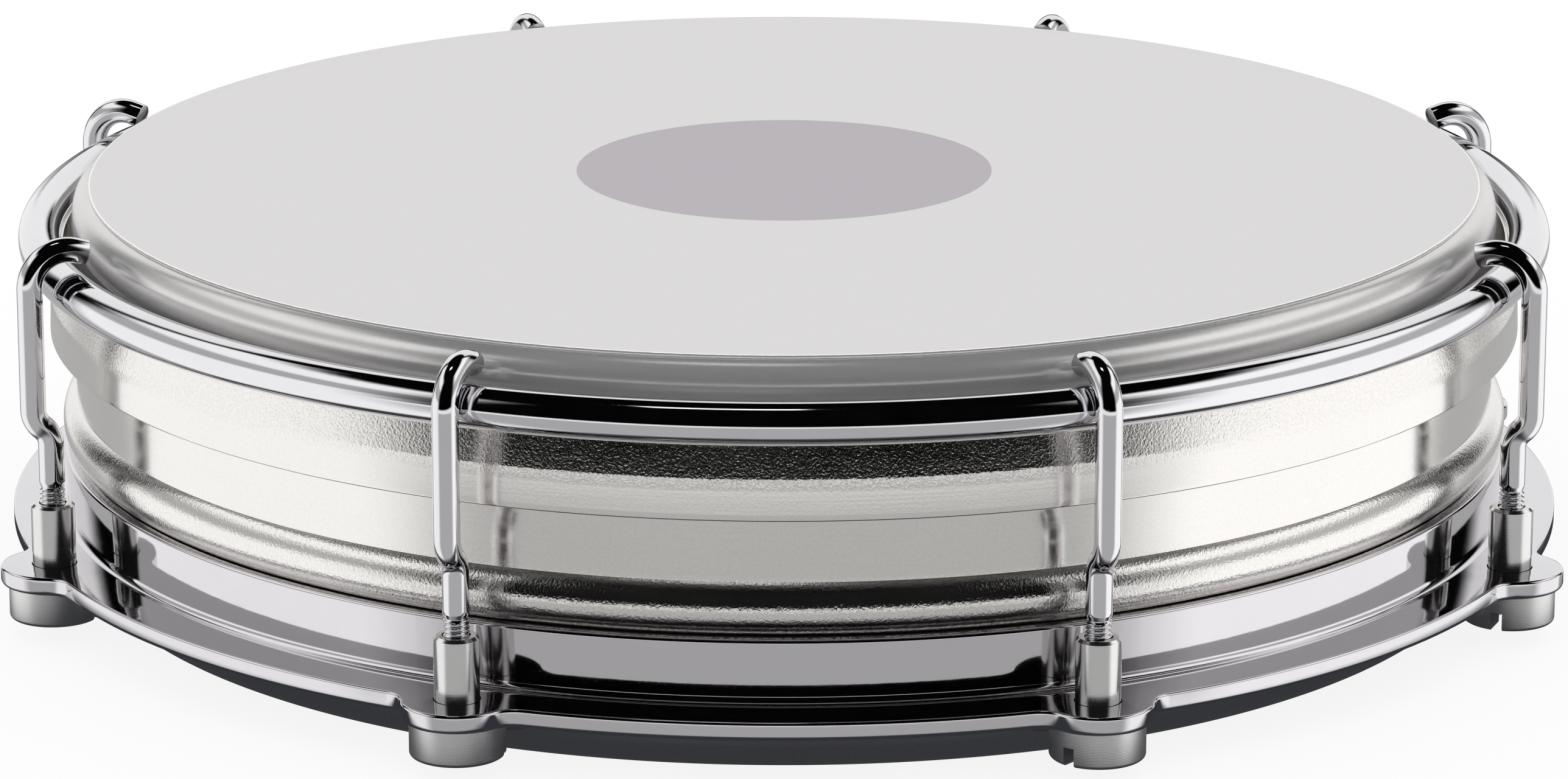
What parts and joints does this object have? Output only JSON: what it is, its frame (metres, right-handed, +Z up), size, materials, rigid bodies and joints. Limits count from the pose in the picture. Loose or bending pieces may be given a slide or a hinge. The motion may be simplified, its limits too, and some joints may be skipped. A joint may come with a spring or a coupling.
{
  "type": "small frame drum",
  "caption": "Small hand-held frame drum: metal shell, plastic head in a channel hoop, rod counterhoop, hooks and slotted tuning nuts under a flanged ring.",
  "frame": {"origin": "middle of the shell's bottom lip, on the plane the drum stands on", "axes": "+Z up through the playing head along the drum's axis; +X and +Y lie midway between tuning hooks"},
  "size_m": [0.1666, 0.1666, 0.0425],
  "materials": {
    "shell_metal": "satin, fine sandy grain on the rolled bead",
    "ring_chrome": "mirror chrome plate on pressed steel",
    "head_film": "matt white coating over clear film",
    "hoop_metal": "satin",
    "resin": "cured casting resin",
    "rod_chrome": "mirror chrome plate on steel rod",
    "hook_chrome": "mirror chrome plate on bent steel rod",
    "nut_plated": "chrome plate on turned steel, satin on the head"
  },
  "bodies": {
    "shell": {"shell": "shell_metal", "tuning_ring": "ring_chrome", "head_film": "head_film"},
    "hoops": {"head_hoop": "hoop_metal", "head_resin": "resin", "counterhoop": "rod_chrome"},
    "nut_1": {"tuning_nut_1": "nut_plated"},
    "hook_1": {"hook_1": "hook_chrome"},
    "nut_2": {"tuning_nut_2": "nut_plated"},
    "hook_2": {"hook_2": "hook_chrome"},
    "nut_3": {"tuning_nut_3": "nut_plated"},
    "hook_3": {"hook_3": "hook_chrome"},
    "nut_4": {"tuning_nut_4": "nut_plated"},
    "hook_4": {"hook_4": "hook_chrome"},
    "nut_5": {"tuning_nut_5": "nut_plated"},
    "hook_5": {"hook_5": "hook_chrome"},
    "nut_6": {"tuning_nut_6": "nut_plated"},
    "hook_6": {"hook_6": "hook_chrome"},
    "nut_7": {"tuning_nut_7": "nut_plated"},
    "hook_7": {"hook_7": "hook_chrome"},
    "nut_8": {"tuning_nut_8": "nut_plated"},
    "hook_8": {"hook_8": "hook_chrome"}
  },
  "joints": [
    {"name": "head_tension", "type": "slide", "parent": "shell", "child": "hoops", "axis": [0, 0, 1], "range_m": [-0.0015, 0.001], "stiffness_N_per_m": 10000, "deforming": ["head_film"]},
    {"name": "nut_turn_1", "type": "hinge", "parent": "shell", "child": "nut_1", "pos_m": [0.07594, 0.03146, 0.0056], "axis": [0, 0, -1], "range_deg": [0, 2894]},
    {"name": "hook_lift_1", "type": "slide", "parent": "hoops", "child": "hook_1", "axis": [0, 0, 1], "range_m": [0, 0.004]},
    {"name": "nut_turn_2", "type": "hinge", "parent": "shell", "child": "nut_2", "pos_m": [0.03146, 0.07594, 0.0056], "axis": [0, 0, -1], "range_deg": [0, 2894]},
    {"name": "hook_lift_2", "type": "slide", "parent": "hoops", "child": "hook_2", "axis": [0, 0, 1], "range_m": [0, 0.004]},
    {"name": "nut_turn_3", "type": "hinge", "parent": "shell", "child": "nut_3", "pos_m": [-0.03146, 0.07594, 0.0056], "axis": [0, 0, -1], "range_deg": [0, 2894]},
    {"name": "hook_lift_3", "type": "slide", "parent": "hoops", "child": "hook_3", "axis": [0, 0, 1], "range_m": [0, 0.004]},
    {"name": "nut_turn_4", "type": "hinge", "parent": "shell", "child": "nut_4", "pos_m": [-0.07594, 0.03146, 0.0056], "axis": [0, 0, -1], "range_deg": [0, 2894]},
    {"name": "hook_lift_4", "type": "slide", "parent": "hoops", "child": "hook_4", "axis": [0, 0, 1], "range_m": [0, 0.004]},
    {"name": "nut_turn_5", "type": "hinge", "parent": "shell", "child": "nut_5", "pos_m": [-0.07594, -0.03146, 0.0056], "axis": [0, 0, -1], "range_deg": [0, 2894]},
    {"name": "hook_lift_5", "type": "slide", "parent": "hoops", "child": "hook_5", "axis": [0, 0, 1], "range_m": [0, 0.004]},
    {"name": "nut_turn_6", "type": "hinge", "parent": "shell", "child": "nut_6", "pos_m": [-0.03146, -0.07594, 0.0056], "axis": [0, 0, -1], "range_deg": [0, 2894]},
    {"name": "hook_lift_6", "type": "slide", "parent": "hoops", "child": "hook_6", "axis": [0, 0, 1], "range_m": [0, 0.004]},
    {"name": "nut_turn_7", "type": "hinge", "parent": "shell", "child": "nut_7", "pos_m": [0.03146, -0.07594, 0.0056], "axis": [0, 0, -1], "range_deg": [0, 2894]},
    {"name": "hook_lift_7", "type": "slide", "parent": "hoops", "child": "hook_7", "axis": [0, 0, 1], "range_m": [0, 0.004]},
    {"name": "nut_turn_8", "type": "hinge", "parent": "shell", "child": "nut_8", "pos_m": [0.07594, -0.03146, 0.0056], "axis": [0, 0, -1], "range_deg": [0, 2894]},
    {"name": "hook_lift_8", "type": "slide", "parent": "hoops", "child": "hook_8", "axis": [0, 0, 1], "range_m": [0, 0.004]}
  ],
  "couplings": [
    {"joint": "nut_turn_1", "follows": "hook_lift_1", "rad_per_m": 12566},
    {"joint": "nut_turn_2", "follows": "hook_lift_2", "rad_per_m": 12566},
    {"joint": "nut_turn_3", "follows": "hook_lift_3", "rad_per_m": 12566},
    {"joint": "nut_turn_4", "follows": "hook_lift_4", "rad_per_m": 12566},
    {"joint": "nut_turn_5", "follows": "hook_lift_5", "rad_per_m": 12566},
    {"joint": "nut_turn_6", "follows": "hook_lift_6", "rad_per_m": 12566},
    {"joint": "nut_turn_7", "follows": "hook_lift_7", "rad_per_m": 12566},
    {"joint": "nut_turn_8", "follows": "hook_lift_8", "rad_per_m": 12566}
  ]
}
